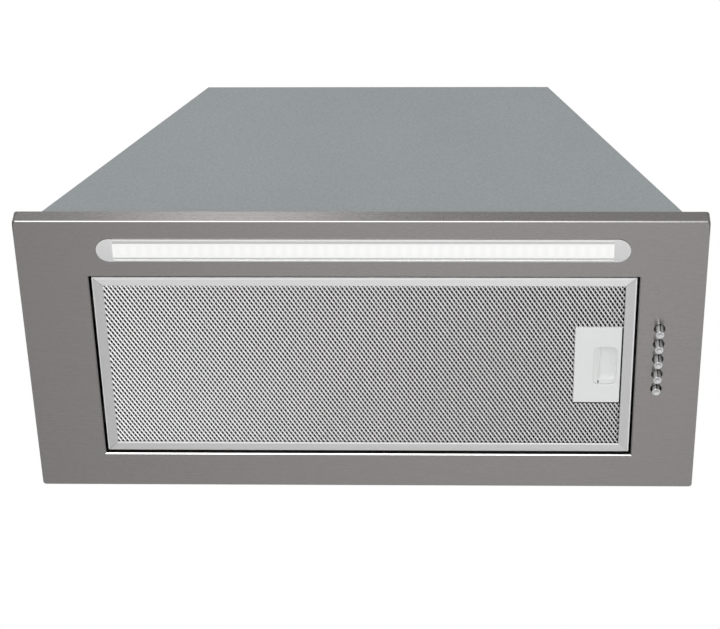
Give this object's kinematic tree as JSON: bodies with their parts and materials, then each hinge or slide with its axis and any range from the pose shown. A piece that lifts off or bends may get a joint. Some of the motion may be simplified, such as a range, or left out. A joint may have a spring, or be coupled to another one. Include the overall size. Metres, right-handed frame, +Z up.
{
  "type": "under cabinet range hood",
  "caption": "Built-in range hood with a steel face panel, tapered housing, hinged mesh filter with a latch, lamp bar, push buttons, blower and duct collar with flaps.",
  "frame": {"origin": "middle of the face panel in plan, at the height of the rim that meets the underside of the cabinet; also the centre of the four cabinet screws", "axes": "+X along the hood's width to the right as seen from the front, -Y towards the front, +Z up"},
  "size_m": [0.598, 0.3, 0.2701],
  "materials": {
    "stainless_steel": "brushed along the width, satin",
    "grey_sheet": "matt blue-grey coated sheet",
    "zinc_sheet": "plain galvanised sheet",
    "screw_zinc": "bright zinc plating",
    "bright_chrome": "polished chrome",
    "spring_steel": "drawn steel",
    "satin_aluminium": "satin anodised",
    "cap_plastic": "moulded, satin, light grey",
    "expanded_aluminium": "expanded mesh, bright strands",
    "opal_diffuser": "opal, lit from behind",
    "lamp_board": "white solder mask",
    "lit_chip": "phosphor, lit",
    "pale_plastic": "moulded, satin, very light grey",
    "black_plastic": "moulded, black",
    "copper_winding": "enamelled copper",
    "bronze_bush": "sintered bronze",
    "white_plastic": "moulded, white",
    "wire_jacket": "flexible black jacket"
  },
  "bodies": {
    "hood": {"face_panel": "stainless_steel", "base_frame": "zinc_sheet", "panel_nuts": "screw_zinc", "housing_front": "grey_sheet", "housing_rear": "grey_sheet", "housing_left": "grey_sheet", "housing_right": "grey_sheet", "housing_top": "grey_sheet", "housing_screws": "screw_zinc", "lamp_profile": "satin_aluminium", "lamp_cap_left": "cap_plastic", "lamp_cap_right": "cap_plastic", "lamp_diffuser": "opal_diffuser", "led_board": "lamp_board", "led_chips": "lit_chip", "lamp_clips": "zinc_sheet", "switch_housing": "black_plastic", "button_springs": "spring_steel", "scroll_left": "black_plastic", "scroll_right": "black_plastic", "inlet_ring": "black_plastic", "motor_stator": "copper_winding", "motor_can": "zinc_sheet", "motor_cap": "zinc_sheet", "motor_bushes": "bronze_bush", "motor_bracket": "zinc_sheet", "motor_screws": "screw_zinc", "motor_capacitor": "white_plastic", "capacitor_clip": "zinc_sheet", "fan_screws": "screw_zinc", "outlet_collar": "zinc_sheet", "collar_screws": "screw_zinc", "damper_pins": "spring_steel", "terminal_box": "black_plastic", "terminal_cover": "black_plastic", "cable_gland": "black_plastic", "gland_nut": "black_plastic", "led_driver": "white_plastic", "wiring": "wire_jacket"},
    "filter": {"filter_rail_front": "satin_aluminium", "filter_rail_back": "satin_aluminium", "filter_rail_left": "satin_aluminium", "filter_rail_right": "satin_aluminium", "filter_mesh_lower": "expanded_aluminium", "filter_mesh_core": "expanded_aluminium", "filter_mesh_upper": "expanded_aluminium", "filter_tabs": "screw_zinc", "latch_plate": "pale_plastic", "latch_spring": "spring_steel"},
    "latch": {"latch_slider": "pale_plastic"},
    "fan_wheel": {"impeller": "black_plastic", "motor_shaft": "spring_steel", "motor_rotor": "spring_steel"},
    "flap_left": {"damper_left": "zinc_sheet"},
    "flap_right": {"damper_right": "zinc_sheet"},
    "button_off": {"button_off": "bright_chrome"},
    "button_speed_1": {"button_speed_1": "bright_chrome"},
    "button_speed_2": {"button_speed_2": "bright_chrome"},
    "button_speed_3": {"button_speed_3": "bright_chrome"},
    "button_light": {"button_light": "bright_chrome"}
  },
  "joints": [
    {"name": "filter_tilt", "type": "hinge", "parent": "hood", "child": "filter", "pos_m": [-0.23825, 0.011, -0.006], "axis": [0, 1, 0], "range_deg": [0, 15]},
    {"name": "latch_slide", "type": "slide", "parent": "filter", "child": "latch", "axis": [1, 0, 0], "range_m": [-0.0035, 0.003], "deforming": ["latch_spring"]},
    {"name": "fan_spin", "type": "hinge", "parent": "hood", "child": "fan_wheel", "pos_m": [0.01, 0.0525, 0.11], "axis": [1, 0, 0], "continuous": true},
    {"name": "flap_left_swing", "type": "hinge", "parent": "hood", "child": "flap_left", "pos_m": [0.006, -0.0025, 0.22], "axis": [0, 1, 0], "range_deg": [0, 80]},
    {"name": "flap_right_swing", "type": "hinge", "parent": "hood", "child": "flap_right", "pos_m": [0.014, -0.0025, 0.22], "axis": [0, -1, 0], "range_deg": [0, 80]},
    {"name": "button_off_push", "type": "slide", "parent": "hood", "child": "button_off", "axis": [0, 0, 1], "range_m": [0, 0.0048], "stiffness_N_per_m": 200, "springref_m": -0.003, "deforming": ["button_springs"]},
    {"name": "button_speed_1_push", "type": "slide", "parent": "hood", "child": "button_speed_1", "axis": [0, 0, 1], "range_m": [0, 0.0048], "stiffness_N_per_m": 200, "springref_m": -0.003, "deforming": ["button_springs"]},
    {"name": "button_speed_2_push", "type": "slide", "parent": "hood", "child": "button_speed_2", "axis": [0, 0, 1], "range_m": [0, 0.0048], "stiffness_N_per_m": 200, "springref_m": -0.003, "deforming": ["button_springs"]},
    {"name": "button_speed_3_push", "type": "slide", "parent": "hood", "child": "button_speed_3", "axis": [0, 0, 1], "range_m": [0, 0.0048], "stiffness_N_per_m": 200, "springref_m": -0.003, "deforming": ["button_springs"]},
    {"name": "button_light_push", "type": "slide", "parent": "hood", "child": "button_light", "axis": [0, 0, 1], "range_m": [-0.0043, 0.0005], "deforming": ["button_springs"]}
  ]
}
